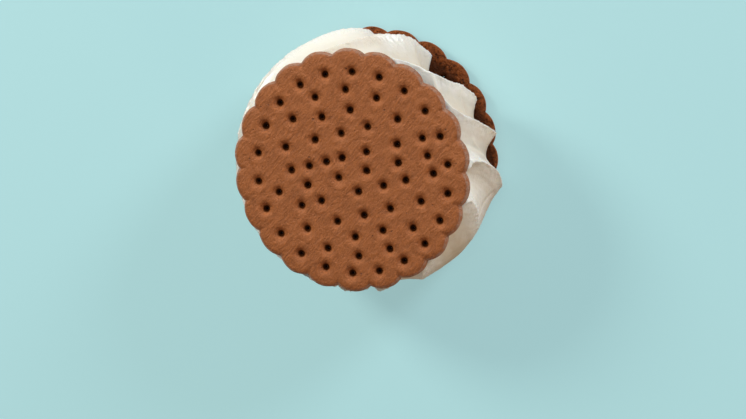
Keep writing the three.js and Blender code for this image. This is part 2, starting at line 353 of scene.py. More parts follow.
def grain_effect():
    """Fine uneven grain: the same for dough, for ice cream and for the floor."""
    tree, given, result = new_effect(
        "Fine Grain", {"Size": 0.001, "Detail": 3.0, "Contrast": 1.0}, "Grain")
    noise = add_node(tree, "ShaderNodeTexNoise",
                     {"Vector": given["Vector"], "Scale": over(1.0, given["Size"]),
                      "Detail": given["Detail"], "Roughness": 0.6})
    centred = minus(noise.outputs["Fac"], 0.5)
    spread = calculate("MULTIPLY_ADD", centred, given["Contrast"], 0.5, clamp=True)
    tree.links.new(spread, result)
    return tree


def pit_effect():
    """Small round pits, on only some of the cells, so that they lie unevenly."""
    tree, given, result = new_effect("Pits", {"Spacing": 0.002, "Reach": 0.25, "Share": 0.4}, "Pits")
    cells = add_node(tree, "ShaderNodeTexVoronoi",
                     {"Vector": given["Vector"], "Scale": over(1.0, given["Spacing"]),
                      "Randomness": 1.0})
    pick = add_node(tree, "ShaderNodeSeparateColor", {"Color": cells.outputs["Color"]}).outputs
    size = times(given["Reach"], pick["Green"])
    round_pit = remap(minus(size, cells.outputs["Distance"]), 0.0, 0.08)
    chosen = calculate("LESS_THAN", pick["Red"], given["Share"])
    tree.links.new(times(round_pit, chosen), result)
    return tree


def wrinkle_effect():
    """Short drawn-out wrinkles, all running one way, as in rolled dough."""
    tree, given, result = new_effect(
        "Wrinkles", {"Angle": 0.6, "Width": 0.0006, "Length": 0.004}, "Wrinkles")
    back = add_node(tree, "ShaderNodeCombineXYZ", {"Z": times(given["Angle"], -1.0)})
    turned = add_node(tree, "ShaderNodeVectorRotate",
                      {"Vector": given["Vector"], "Rotation": back.outputs[0]},
                      rotation_type="EULER_XYZ")
    across = over(1.0, given["Width"])
    stretch = add_node(tree, "ShaderNodeCombineXYZ",
                       {"X": over(1.0, given["Length"]), "Y": across, "Z": across})
    drawn = on_vectors("MULTIPLY", turned.outputs[0], stretch.outputs[0])
    noise = add_node(tree, "ShaderNodeTexNoise",
                     {"Vector": drawn, "Scale": 1.0, "Detail": 4.0, "Roughness": 0.55, "Distortion": 0.6})
    tree.links.new(noise.outputs["Fac"], result)
    return tree


EFFECTS = {"Fine Grain": grain_effect, "Pits": pit_effect, "Wrinkles": wrinkle_effect}


def effect(name, place, **inputs):
    """Places a shared effect with its own values. Its group is built the first time."""
    group = bpy.data.node_groups.get(name) or EFFECTS[name]()
    inputs["Vector"] = place
    return add_node(place.id_data, "ShaderNodeGroup", inputs, node_tree=group).outputs[0]


# ---- Finishes ----

def new_material(name):
    material = bpy.data.materials.new(name)
    material.use_nodes = True
    tree = material.node_tree
    tree.nodes.clear()
    shader = tree.nodes.new("ShaderNodeBsdfPrincipled")
    add_node(tree, "ShaderNodeOutputMaterial", {"Surface": shader.outputs[0]})
    place = tree.nodes.new("ShaderNodeTexCoord").outputs["Object"]
    return material, tree, shader, place


def stored(tree, name):
    return add_node(tree, "ShaderNodeAttribute", attribute_name=name).outputs["Fac"]


def bumpy(height, strength, distance):
    return add_node(height.id_data, "ShaderNodeBump",
                    {"Strength": strength, "Distance": distance, "Height": height}).outputs[0]


def wafer_finish(name, wafer, grain_turn, flour_and_sheen):
    """Baked chocolate dough: streaked crust outside, darker crumb inside.
    Painted into the colour: shade in the nearly black holes, in pits and pores and under the swirl;
    a rim partly darker with baking and partly with painted shade; a pale wall, partly flour and partly a
    painted sheen;
    lighter raised lumps in the crumb, partly a painted highlight.
    """
    material, tree, shader, place = new_material(name)
    outside, hole_shade_mask, by_edge, on_wall, soaked = (
        stored(tree, field)
        for field in ("outer_side", "hole_shade", "edge_shade", "wall_shade", "soaked"))
    wrinkles = effect("Wrinkles", place, Angle=grain_turn, Width=0.64 * MM, Length=3.2 * MM)
    fine_wrinkles = effect("Wrinkles", place, Angle=grain_turn + 0.25, Width=0.36 * MM,
                           Length=1.6 * MM)
    grain = effect("Fine Grain", place, Size=0.55 * MM, Detail=3.0, Contrast=1.8)
    patches = effect("Fine Grain", place, Size=7 * MM, Detail=3.0, Contrast=2.4)
    pits = effect("Pits", place, Spacing=2.4 * MM, Reach=0.2, Share=0.3)
    pores = effect("Pits", place, Spacing=1.1 * MM, Reach=0.55, Share=0.8)
    lumps = effect("Fine Grain", place, Size=1.5 * MM, Detail=4.0, Contrast=2.6)

    crust = Vector(wafer.crust_colour)
    tone = plus(times(wrinkles, 0.55), times(fine_wrinkles, 0.45))
    tone = remap(tone, 0.38, 0.64)
    crust_colour = blend(tone, crust * 0.74, crust * 1.2)
    lighter = crust * Vector((1.22, 1.3, 1.45))
    crust_colour = blend(times(patches, 0.55), crust_colour, lighter)
    speckle = times(remap(grain, 0.32, 0.1), 0.5)
    crust_colour = blend(speckle, crust_colour, crust * 0.5)
    # Painted shade in the pits.
    crust_colour = blend(times(pits, 0.8), crust_colour, crust * 0.3)

    crumb = Vector(wafer.crumb_colour)
    # Crumb tone by its lumps: partly its own tone, partly a painted highlight on the raised lumps and
    # painted shade between them.
    crumb_colour = blend(lumps, crumb * 0.35, crumb * 2.4)
    # Painted shade in the pores.
    crumb_colour = blend(times(pores, 0.8), crumb_colour, crumb * 0.22)
    # Painted shade: the crumb is painted darker under the swirl and further out on one side.
    crumb_colour = blend(times(soaked, 0.9), crumb_colour, crumb * 0.36)

    colour = blend(remap(outside, 0.08, 0.3), crumb_colour, crust_colour)
    # The rim: partly darker with baking, partly painted shade where it falls away from the light.
    rim_break = times(by_edge, remap(lumps, 0.3, 0.7, 0.25, 0.8))
    rim_tone = crust * Vector((0.72, 0.6, 0.52))
    colour = blend(times(rim_break, 0.8), colour, rim_tone)
    # The pale wall: partly flour, partly a painted sheen.
    flour_and_sheen_share = times(on_wall, remap(lumps, 0.25, 0.6, 0.3 * flour_and_sheen, flour_and_sheen))
    colour = blend(flour_and_sheen_share, colour, wafer.wall_flour_and_sheen)
    # Painted shade in and round the holes.
    colour = blend(hole_shade_mask, colour, wafer.hole_shade_colour)

    rough = plus(remap(tone, 0.0, 1.0, 0.66, 0.52), times(hole_shade_mask, 0.25))
    rough = mix(outside, remap(lumps, 0.3, 0.7, 0.6, 0.34), rough)
    shine = times(remap(hole_shade_mask, 0.0, 0.6, 0.45, 0.0),
                  remap(outside, 0.1, 0.4, 0.25, 1.0))

    crust_height = times(wrinkles, 0.6)
    for relief, share in ((fine_wrinkles, 0.45), (grain, 0.16), (pits, -0.6)):
        crust_height = times_plus(relief, share, crust_height)
    crumb_height = times_plus(pores, -1.2, times(lumps, 1.4))
    height = mix(outside, crumb_height, crust_height)
    fill_in(tree, shader, {"Base Color": colour, "Roughness": rough, "Specular IOR Level": shine,
                           "Normal": bumpy(height, 1.0, 0.7 * MM)})
    return material


def cream_finish(cream):
    """Soft ice cream: matt and slightly grainy, with a painted warm shade deep in the channels and a
    painted highlight on the crests, which are also wetter.
    """
    material, tree, shader, place = new_material("soft ice cream")
    crest = stored(tree, "crest")
    crystals = effect("Fine Grain", place, Size=0.5 * MM, Detail=3.0, Contrast=1.5)
    drifts = effect("Fine Grain", place, Size=5 * MM, Detail=3.0, Contrast=1.8)
    pocks = effect("Pits", place, Spacing=1.5 * MM, Reach=0.2, Share=0.25)

    # Painted shade: warmer and darker deep in the channels.
    painted_shade_amount = times(stored(tree, "hollow"), remap(drifts, 0.2, 0.8, 0.75, 1.0))
    colour = blend(painted_shade_amount, cream.colour, cream.shade_colour)
    # Painted highlight: the crests are painted slightly lighter.
    colour = blend(times(crest, 0.5), colour, Vector(cream.colour) * 1.03)
    # Painted shade in the small pocks.
    colour = blend(times(pocks, 0.12), colour, Vector(cream.shade_colour) * 0.8)
    rough = times_plus(crest, -0.08, remap(crystals, 0.2, 0.8, 0.38, 0.28))
    height = times_plus(drifts, 0.8, times(crystals, 0.3))
    height = times_plus(pocks, -0.4, height)
    fill_in(tree, shader, {
        "Base Color": colour, "Roughness": rough, "Specular IOR Level": 0.5, "Subsurface Weight": 0.2,
        "Subsurface Radius": (1.0, 0.75, 0.5), "Subsurface Scale": 1.5 * MM,
        "Normal": bumpy(height, 0.8, 0.25 * MM)})
    return material


def floor_finish(stage):
    """A plain coloured floor that throws back only neutral light on what stands on it."""
    material, tree, shader, place = new_material("plain floor")
    cloud = effect("Fine Grain", place, Size=300 * MM, Detail=1.0, Contrast=0.6)
    base = Vector(stage.floor_colour)
    lit = base * (1 - stage.floor_glow)
    seen = add_node(tree, "ShaderNodeLightPath").outputs["Is Camera Ray"]
    colour = blend(seen, stage.bounce_colour, blend(cloud, lit * 0.99, lit * 1.01))
    fill_in(tree, shader, {
        "Base Color": colour, "Emission Strength": times(seen, stage.floor_glow),
        "Emission Color": (*base, 1.0), "Roughness": 0.7, "Specular IOR Level": 0.1})
    return material


# ---- Geometry node trees ----

def new_shape_tree(name, inputs):
    tree = bpy.data.node_groups.new(name, "GeometryNodeTree")
    tree.is_modifier = True
    return tree, *add_sockets(tree, {"Geometry": "Geometry", **inputs}, "Geometry", "Geometry")


def finish_shape_tree(tree, shape, offset, material, result):
    """Every tree ends the same way: moved points, and a plain, smooth mesh in one material."""
    worked = add_node(tree, "GeometryNodeSetPosition", {"Geometry": shape, "Offset": offset})
    smooth = add_node(tree, "GeometryNodeSetShadeSmooth", {"Geometry": worked.outputs[0]})
    plain = add_node(tree, "GeometryNodeRealizeInstances", {"Geometry": smooth.outputs[0]})
    painted = add_node(tree, "GeometryNodeSetMaterial",
                       {"Geometry": plain.outputs[0], "Material": material})
    tree.links.new(painted.outputs[0], result)
    return tree


def named_value(tree, name, kind="FLOAT"):
    node = add_node(tree, "GeometryNodeInputNamedAttribute", {"Name": name}, data_type=kind)
    return node.outputs[0]


def noise_at(vector, size, detail=2.0):
    """Noise between -0.5 and 0.5 with features of a given size."""
    noise = add_node(vector.id_data, "ShaderNodeTexNoise",
                     {"Vector": vector, "Scale": 1.0 / size, "Detail": detail})
    return minus(noise.outputs[0], 0.5)


def pricking_tree():
    """Sets a collar into each round gap of a wafer blank and works the faces: dimples, swells, crumb."""
    tree, given, result = new_shape_tree("Prick and Bake", {
        "Collar": "Object", "Thickness": 0.003, "Bore": 0.001, "Dimple Reach": 0.002,
        "Dimple Depth": 0.0005, "Lip Height": 0.0001, "Swell Height": 0.0001, "Crumb Height": 0.0001,
        "Warp": 0.0001, "Seed": 0.0, "Material": "Material"})
    apart = add_node(
        tree, "GeometryNodeSeparateGeometry",
        {"Geometry": given["Geometry"], "Selection": named_value(tree, "hole_place", "BOOLEAN")},
        domain="POINT").outputs
    collar = add_node(tree, "GeometryNodeObjectInfo", {"Object": given["Collar"]})
    collars = add_node(tree, "GeometryNodeInstanceOnPoints",
                       {"Points": apart[0], "Instance": collar.outputs["Geometry"]})
    plain = add_node(tree, "GeometryNodeRealizeInstances", {"Geometry": collars.outputs[0]})
    joined = add_node(tree, "GeometryNodeJoinGeometry")
    for part in (apart[1], plain.outputs[0]):
        tree.links.new(part, joined.inputs[0])
    whole = add_node(tree, "GeometryNodeMergeByDistance",
                     {"Geometry": joined.outputs[0], "Distance": 0.01 * MM})

    place = add_node(tree, "GeometryNodeInputPosition").outputs[0]
    x, y, z = add_node(tree, "ShaderNodeSeparateXYZ", {0: place}).outputs
    level = add_node(tree, "ShaderNodeCombineXYZ", {0: x, 1: y, 2: given["Thickness"]}).outputs[0]
    reach = add_node(tree, "GeometryNodeProximity",
                     {"Geometry": apart[0], "Sample Position": level},
                     target_element="POINTS").outputs["Distance"]
    height = over(z, given["Thickness"])
    outer = remap(height, 0.45, 1.0)
    inner = remap(height, 0.5, 0.0)

    dimple_size, swell_size, ripple_size, crumb_size, warp_size = (
        size * MM for size in (6, 8, 2.2, 1.6, 7))
    depth = times(given["Dimple Depth"], plus(noise_at(level, dimple_size), 1.0))
    slope = remap(reach, given["Dimple Reach"], given["Bore"])
    dimple = times(calculate("POWER", slope, 1.8), depth)
    off_lip = calculate("ABSOLUTE", minus(reach, times(given["Dimple Reach"], 1.15)))
    lip = times(remap(off_lip, 0.9 * MM, 0.0), given["Lip Height"])
    swell = times(noise_at(level, swell_size), given["Swell Height"])
    ripple = times(noise_at(level, ripple_size, 3.0),
                   times(given["Swell Height"], 0.35))
    sunk = times_plus(given["Swell Height"], 0.6, dimple)
    lift = minus(plus(lip, plus(swell, ripple)), sunk)
    elsewhere = on_vectors("ADD", place, (0.31, 0.17, 0.05))
    crumb = times(noise_at(elsewhere, crumb_size, 4.0), given["Crumb Height"])
    lift = times_plus(crumb, inner, times(lift, outer))

    drift = add_node(tree, "ShaderNodeTexNoise",
                     {"Vector": on_vectors("ADD", place, given["Seed"]),
                      "Scale": 1.0 / warp_size, "Detail": 3.0}).outputs["Color"]
    drift = on_vectors("SUBTRACT", drift, (0.5, 0.5, 0.5))
    drift = on_vectors("SCALE", drift, given["Warp"])
    drift = add_node(tree, "ShaderNodeSeparateXYZ", {0: drift}).outputs
    move = add_node(tree, "ShaderNodeCombineXYZ", {0: drift[0], 1: drift[1], 2: lift}).outputs[0]
    return finish_shape_tree(tree, whole.outputs[0], move, given["Material"], result)


def tearing_tree():
    """Roughens the swirl along its normals: a little on the flanks, more where a crest is torn."""
    tree, given, result = new_shape_tree("Tear and Soften", {
        "Ragged Height": 0.0003, "Surface Height": 0.0001, "Seed": 0.0, "Material": "Material"})
    place = add_node(tree, "GeometryNodeInputPosition").outputs[0]
    place = on_vectors("ADD", place, given["Seed"])
    torn = times(noise_at(place, 1.1 * MM, 3.0), given["Ragged Height"])
    torn = times(torn, named_value(tree, "crest"))
    soft = times(noise_at(place, 5 * MM, 3.0), given["Surface Height"])
    free = minus(1.0, named_value(tree, "held"))
    amount = times(plus(torn, soft), free)
    normal = add_node(tree, "GeometryNodeInputNormal").outputs[0]
    move = on_vectors("SCALE", normal, amount)
    return finish_shape_tree(tree, given["Geometry"], move, given["Material"], result)


def new_object(name, data):
    thing = bpy.data.objects.new(name, data)
    bpy.context.scene.collection.objects.link(thing)
    return thing


def worked_mesh(blank, tree, inputs, name):
    """Runs a tree on a blank and returns the result as a plain mesh object; the blank goes."""
    modifier = blank.modifiers.new(tree.name, "NODES")
    modifier.node_group = tree
    for socket in tree.interface.items_tree:
        if socket.in_out == "INPUT" and socket.name in inputs:
            modifier[socket.identifier] = inputs[socket.name]
    bpy.context.view_layer.update()
    graph = bpy.context.evaluated_depsgraph_get()
    mesh = bpy.data.meshes.new_from_object(blank.evaluated_get(graph))
    blank_mesh = blank.data
    bpy.data.objects.remove(blank)
    bpy.data.meshes.remove(blank_mesh)
    mesh.name = name
    return new_object(name, mesh)


# ---- Mesh helpers ----

def mesh_object(name, points, faces):
    mesh = bpy.data.meshes.new(name)
    mesh.from_pydata([tuple(p) for p in points], [], faces)
    mesh.update()
    return new_object(name, mesh)


def strip_faces(rings, around):
    """Quads between rings of points, listed ring after ring, each counter-clockwise from outside."""
    faces = []
    for row in range(rings - 1):
        for i in range(around):
            j = (i + 1) % around
            faces.append((row * around + i, row * around + j,
                          (row + 1) * around + j, (row + 1) * around + i))
    return faces


def vertex_places(mesh):
    places = np.empty(len(mesh.vertices) * 3)
    mesh.vertices.foreach_get("co", places)
    return places.reshape(-1, 3)


def store_values(mesh, name, values):
    attribute = mesh.attributes.new(name, "FLOAT", "POINT")
    attribute.data.foreach_set("value", np.asarray(values, np.float32))


def move_vertices(mesh, places):
    mesh.vertices.foreach_set("co", places.ravel())
    mesh.update()


def smooth_ramp(value, low, high):
    share = np.clip((value - low) / (high - low), 0, 1)
    return share * share * (3 - 2 * share)


def polar(places):
    """How far points lie from the Z axis, and their angles round it."""
    return np.hypot(places[:, 0], places[:, 1]), np.arctan2(places[:, 1], places[:, 0])


def rounded_bump(angle, middle, spread):
    """1 at an angle, and smoothly less to either side of it."""
    off = (angle - middle + math.pi) % math.tau - math.pi
    return np.exp(-((off / spread) ** 2))


def to_nearest(points, places):
    """How far each point is from the nearest place, seen from above."""
    return np.min(np.hypot(points[:, None, 0] - places[None, :, 0],
                           points[:, None, 1] - places[None, :, 1]), axis=1)


# ---- Wafers ----

RIM_STEPS = 24  # points to each scallop
FINE_STEP = 0.42 * MM
COARSE_STEP = 1.6 * MM
LEAST_ROOM = 0.6 * FINE_STEP  # between a loose point and an edge
INNER_FINE_FROM = 31 * MM  # further in, the inner face is hidden and coarse
MERGE_STEP = 1e-5  # points closer than this, in millimetres, become one

CREASE_LENGTH = 4.2 * MM
CREASE_WIDTH, CREASE_FLARE = 0.55 * MM, 0.5 * MM  # at its inner end, and how much more at the rim
EDGE_DROP = 0.22 * MM  # how far the outer face falls to the rim
EDGE_FALLS = -3.4 * MM, -0.2 * MM  # where it does, counted from the rim

LIP_HEIGHT = 0.08 * MM
CRUMB_HEIGHT = 0.8 * MM
WARP = 0.7 * MM  # how far the dough has crept sideways

# Where the finish changes: between two distances from a hole or the rim, or two shares of the thickness.
# Painted shade in and round the holes: how dark, and between which distances from a hole.
HOLE_DARKNESS = 0.92
HOLE_DARKENS = -1.55 * MM, -0.95 * MM
# Where the rim darkens, partly with baking and partly as painted shade.
EDGE_DARKENS = -1.9 * MM, -0.7 * MM
WALL_FROM = -1.1 * MM, -0.7 * MM
WALL_TOP = 0.76, 0.88

# The turn of each wafer's wrinkles and how pale its rim wall is painted, partly flour and partly a
# painted sheen, and then the seeds of the two.
TOP_LOOK = {"grain_turn": 0.62, "flour_and_sheen": 0.9}
BOTTOM_LOOK = {"grain_turn": -0.3, "flour_and_sheen": 0.06}
TOP_SEED, BOTTOM_SEED = 0.0, 0.4


def scallop_reach(angle, inset, wafer):
    """Radius of the scalloped outline, set in by `inset`, at an angle from a scallop's middle."""
    outer = wafer.diameter / 2
    half = math.pi / wafer.scallops
    centre = outer**2 - wafer.valley_radius**2
    centre /= 2 * (outer - wafer.valley_radius * math.cos(half))
    arc = outer - centre - inset
    return centre * np.cos(angle) + np.sqrt(arc**2 - (centre * np.sin(angle)) ** 2)


def from_scallop_middle(angle, wafer):
    pitch = 2 * math.pi / wafer.scallops
    start = math.pi / 2 + wafer.scallop_turn
    return (angle - start + pitch / 2) % pitch - pitch / 2


def rim_beyond(places, inset, wafer):
    """How far the scalloped outline lies beyond each point."""
    reach, angle = polar(places)
    return scallop_reach(from_scallop_middle(angle, wafer), inset, wafer) - reach


def rim_ring(inset, height, wafer):
    count = wafer.scallops * RIM_STEPS
    start = math.pi / 2 + wafer.scallop_turn - math.pi / wafer.scallops
    angle = start + np.arange(count) * 2 * math.pi / count
    reach = scallop_reach(from_scallop_middle(angle, wafer), inset, wafer)
    return np.column_stack([reach * np.cos(angle), reach * np.sin(angle), np.full(count, height)])


def hole_places(wafer):
    places = [(x * MM, y * MM) for y, row in HOLE_ROWS for x in row]
    for i in range(wafer.scallops):
        angle = math.pi / 2 + 2 * math.pi * i / wafer.scallops
        places.append((wafer.ring_reach[0] * math.cos(angle), wafer.ring_reach[1] * math.sin(angle)))
    return np.array(places) + np.array(wafer.pattern_shift)


def circle_points(centre, radius):
    angle = np.arange(COLLAR_SIDES) * 2 * math.pi / COLLAR_SIDES
    return np.column_stack([centre[0] + radius * np.cos(angle), centre[1] + radius * np.sin(angle)])


def hexagonal_points(reach, step):
    """Evenly spread points over a disc."""
    rise = step * math.sqrt(3) / 2
    rows = int(reach / rise) + 1
    columns = int(reach / step) + 1
    points = [((column + 0.5 * (row % 2)) * step, row * rise)
              for row in range(-rows, rows + 1) for column in range(-columns, columns + 1)]
    points = np.array(points)
    return points[np.hypot(points[:, 0], points[:, 1]) < reach]


def gapped_face(wafer, inset, fine_from):
    """One flat face: its points and triangles, with a round gap at each hole. Outside the radius
    `fine_from` the points are close together."""
    outline = rim_ring(inset, 0, wafer)[:, :2]
    places = hole_places(wafer)
    gap = COLLAR_PROFILE[0][0] * MM
    fine = hexagonal_points(wafer.diameter / 2, FINE_STEP)
    coarse = hexagonal_points(fine_from - FINE_STEP, COARSE_STEP)
    inside = np.vstack([fine[polar(fine)[0] >= fine_from], coarse])
    room = rim_beyond(inside, inset, wafer)
    inside = inside[(room > LEAST_ROOM) & (to_nearest(inside, places) > gap + LEAST_ROOM)]

    loops = [outline] + [circle_points(place, gap) for place in places]
    edges = []
    start = 0
    for loop in loops:
        edges += [(start + i, start + (i + 1) % len(loop)) for i in range(len(loop))]
        start += len(loop)
    points = np.vstack(loops + [inside])
    flat = [Vector(p / MM) for p in points]
    found = delaunay_2d_cdt(flat, edges, [], 1, MERGE_STEP, False)
    points = np.array([tuple(p) for p in found[0]]) * MM
    triangles = np.array(found[2])
    middle = points[triangles].mean(axis=1)
    gapped = to_nearest(middle, places) < gap * math.cos(math.pi / COLLAR_SIDES)
    outside = rim_beyond(middle, inset, wafer) < 0
    return points, triangles[~(gapped | outside)]


def wafer_blank(wafer):
    """A wafer with round gaps for its holes, and a loose point on the outer face at each hole."""
    top = wafer.thickness
    rings = [rim_ring(inset * MM, top - depth * MM, wafer) for depth, inset in RIM_PROFILE]
    around = len(rings[0])
    faces = [tuple(reversed(face)) for face in strip_faces(len(rings), around)]
    points = list(np.vstack(rings))
    outer_points, outer = gapped_face(wafer, RIM_PROFILE[0][1] * MM, 0.0)
    inner_points, inner = gapped_face(wafer, RIM_PROFILE[-1][1] * MM, INNER_FINE_FROM)
    for flat, triangles, height in ((outer_points, outer, top), (inner_points, inner, 0.0)):
        start = len(points)
        points += [(x, y, height) for x, y in flat]
        corners = flat[triangles]
        ahead = corners[:, 1] - corners[:, 0]
        aside = corners[:, 2] - corners[:, 0]
        turn = ahead[:, 0] * aside[:, 1] - ahead[:, 1] * aside[:, 0]
        for triangle, way in zip(triangles, turn):
            a, b, c = (start + int(i) for i in triangle)
            upward = way > 0
            faces.append((a, b, c) if upward == (height > 0) else (a, c, b))
    places = hole_places(wafer)
    first_place = len(points)
    points += [(x, y, top) for x, y in places]
    blank = mesh_object("wafer_blank", points, faces)
    marks = blank.data.attributes.new("hole_place", "BOOLEAN", "POINT")
    marks.data.foreach_set("value", [i >= first_place for i in range(len(points))])
    return blank


def hole_collar():
    """The wall of a hole with a little of both faces, hanging below the origin."""
    rings = []
    for radius, depth in COLLAR_PROFILE:
        flat = circle_points((0, 0), radius * MM)
        rings.append(np.column_stack([flat, np.full(COLLAR_SIDES, -depth * MM)]))
    faces = strip_faces(len(rings), COLLAR_SIDES)
    return mesh_object("hole_collar", np.vstack(rings), faces)


def crease_valleys(mesh, wafer):
    """Presses a short crease into the outer face from each valley of the rim, and rounds the scallops."""
    places = vertex_places(mesh)
    reach, angle = polar(places)
    beside = reach * np.sin(math.pi / wafer.scallops - np.abs(from_scallop_middle(angle, wafer)))
    inward = smooth_ramp(reach, wafer.valley_radius - CREASE_LENGTH, wafer.valley_radius)
    outer = smooth_ramp(places[:, 2] / wafer.thickness, 0.5, 1.0)
    width = CREASE_WIDTH + CREASE_FLARE * inward
    crease = np.exp(-((beside / width) ** 2)) * inward * wafer.valley_crease
    slope = smooth_ramp(-rim_beyond(places, 0.0, wafer), *EDGE_FALLS) * EDGE_DROP
    places[:, 2] -= (crease + slope) * outer
    move_vertices(mesh, places)


def bulge_rim(mesh):
    """Draws the rim out a little on one side, as dough spreads in the oven."""
    places = vertex_places(mesh)
    reach, angle = polar(places)
    drawn = rounded_bump(angle, BULGE_ANGLE, BULGE_SPREAD) * smooth_ramp(reach, *BULGE_RIM)
    places[:, :2] *= (1 + BULGE_REACH * drawn / np.maximum(reach, MM))[:, None]
    move_vertices(mesh, places)


def shade_wafer(mesh, wafer):
    """Stores where the outer side, the holes and the rim are, for the finish, which paints shade in and
    round the holes, partly on the rim, and a sheen on the wall.
    """
    places = vertex_places(mesh)
    to_hole = to_nearest(places, hole_places(wafer))
    past_rim = -rim_beyond(places, 0.0, wafer)
    height = places[:, 2] / wafer.thickness
    store_values(mesh, "outer_side", np.clip(height, 0, 1))
    store_values(mesh, "hole_shade", HOLE_DARKNESS * smooth_ramp(-to_hole, *HOLE_DARKENS))
    store_values(mesh, "edge_shade", smooth_ramp(past_rim, *EDGE_DARKENS))
    low_down = 1 - smooth_ramp(height, *WALL_TOP)
    store_values(mesh, "wall_shade", smooth_ramp(past_rim, *WALL_FROM) * low_down)


def paint_crumb_shade(mesh, wafer):
    """Stores where the crumb is painted darker: a painted shade under the swirl, reaching further on one
    side.
    Only the bottom wafer's inner side shows, so the angle is counted as it will be once that wafer is
    turned over."""
    reach, angle = polar(vertex_places(mesh))
    further = rounded_bump(wafer.bottom_turn - angle, PAINTED_SHADE_ANGLE, PAINTED_SHADE_SPREAD)
    beyond = reach - (PAINTED_SHADE_REACH + PAINTED_SHADE_FURTHER * further)
    store_values(mesh, "soaked", 1 - smooth_ramp(beyond, *PAINTED_SHADE_FADE))


def build_wafer(name, node, wafer, place, seed, finish, bulges):
    collar = hole_collar()
    tree = bpy.data.node_groups.get("Prick and Bake") or pricking_tree()
    piece = worked_mesh(wafer_blank(wafer), tree, {
        "Collar": collar, "Thickness": wafer.thickness, "Bore": BORE_RADIUS,
        "Dimple Reach": wafer.dimple_reach, "Dimple Depth": wafer.dimple_depth,
        "Lip Height": LIP_HEIGHT, "Swell Height": wafer.swell_height, "Crumb Height": CRUMB_HEIGHT,
        "Warp": WARP, "Seed": seed, "Material": finish}, name)
    bpy.data.meshes.remove(collar.data)
    crease_valleys(piece.data, wafer)
    shade_wafer(piece.data, wafer)
    paint_crumb_shade(piece.data, wafer)
    if bulges:
        bulge_rim(piece.data)
    piece.data.transform(place)
    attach(piece, "root")
    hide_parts(node)


# ---- Ice cream ----

def along_path(path, height):
    """A smooth curve through a ridge's (height, angle) pairs."""
    keys = np.array(path, float)
    x, y = keys[:, 0], keys[:, 1]
    steps = np.diff(y) / np.diff(x)
    slope = np.empty(len(x))
    slope[0], slope[-1] = steps[0], steps[-1]
    slope[1:-1] = (y[2:] - y[:-2]) / (x[2:] - x[:-2])
    i = np.clip(np.searchsorted(x, height, side="right") - 1, 0, len(x) - 2)
    gap = x[i + 1] - x[i]
    t = (height - x[i]) / gap
    return (y[i] * (2 * t**3 - 3 * t**2 + 1) + y[i + 1] * (3 * t**2 - 2 * t**3)
            + gap * (slope[i] * (t**3 - 2 * t**2 + t) + slope[i + 1] * (t**3 - t**2)))


def uneven_numbers(seed):
    """Repeatable random numbers between -1 and 1."""
    while True:
        seed = seed * 48271 % 2147483647
        yield 2 * seed / 2147483647 - 1


def all_ridges():
    """The shown ridges, and the ones that follow on round the swirl, all a little different."""
    random = uneven_numbers(RIDGE_SEED)
    ridges = list(SHOWN_RIDGES)
    others = OTHER_RIDGES

    def vary(name, value):
        return value + UNEVENNESS[name] * next(random)

    for i in range(others["count"]):
        share = i / (others["count"] - 1)
        foot, head = (vary(name, others[name][0] + share * (others[name][1] - others[name][0]))
                      for name in ("foot", "head"))
        late = vary("late", others["late"])
        path = []
        for height in others["heights"]:
            turn = (1 - others["hook_share"]) * height**late
            turn += others["hook_share"] * height ** others["hook_power"]
            path.append((height, foot + turn * (head - foot)))
        ridges.append({
            "path": path, "toe": vary("toe", others["toe"]), "belly": vary("belly", others["belly"]),
            "notch": (others["notch"][0], vary("notch", others["notch"][1])),
            "depth": [vary("depth", depth) for depth in others["depth"]], "rise": others["rise"]})
    return ridges


def crest_reach(ridge, height):
    below = np.clip(1 - height / BELLY_HEIGHT, 0, 1)
    above = np.clip((height - BELLY_HEIGHT) / (1 - BELLY_HEIGHT), 0, 1)
    return (ridge["belly"] - (ridge["belly"] - ridge["toe"]) * below**2
            - (ridge["belly"] - NECK_REACH) * above**NECK_POWER)


def channel_share(across, notch, height, rise):
    """How much of its depth the channel has at a share of the way to the next ridge. It drops steeply
    below a crest and rises to the next one: the more hollow the larger `rise`, but swelling out near
    the top wafer."""
    before = np.sin(np.clip(across / notch, 0, 1) * math.pi / 2)
    rest = np.clip((1 - across) / (1 - notch), 0, 1)
    hollow = 1 - (1 - rest) ** rise
    swollen = rest * rest * (3 - 2 * rest)
    swell = smooth_ramp(height, *CHANNEL_SWELLS)
    after = hollow * (1 - swell) + swollen * swell
    return np.where(across < notch, before, after)


def three_levels(values, height):
    """Runs smoothly through values for the bottom, the middle and the top."""
    return along_path([(0, values[0]), (0.5, values[1]), (1, values[2])], height)


def small_folds(channel, across, height):
    """How far the surface stands out over the small folds of one channel."""
    relief = np.zeros_like(height)
    for fold in SMALL_FOLDS:
        if fold["channel"] != channel:
            continue
        line = np.array(fold["line"]) * (CHANNEL_WIDTH, SWIRL_HEIGHT)
        nearest = np.full(height.shape, np.inf)
        for start, end in zip(line[:-1], line[1:]):
            along = end - start
            off = across * CHANNEL_WIDTH - start[0], height * SWIRL_HEIGHT - start[1]
            share = np.clip((off[0] * along[0] + off[1] * along[1]) / (along @ along), 0, 1)
            nearest = np.minimum(nearest, np.hypot(off[0] - share * along[0], off[1] - share * along[1]))
        relief += fold["height"] * np.exp(-((nearest / fold["width"]) ** FOLD_POWER))
    return relief


def flow_lines(across, height):
    """Fine lines that the nozzle drew along the ridges."""
    random = np.random.default_rng(FLOW_SEED)
    relief = np.zeros_like(height)
    for count in FLOW_COUNTS:
        phase, drift = random.uniform(0, 6), random.uniform(-4, 4)
        relief += np.sin(count * math.tau * across + phase + drift * height) / (3 + count)
    return relief


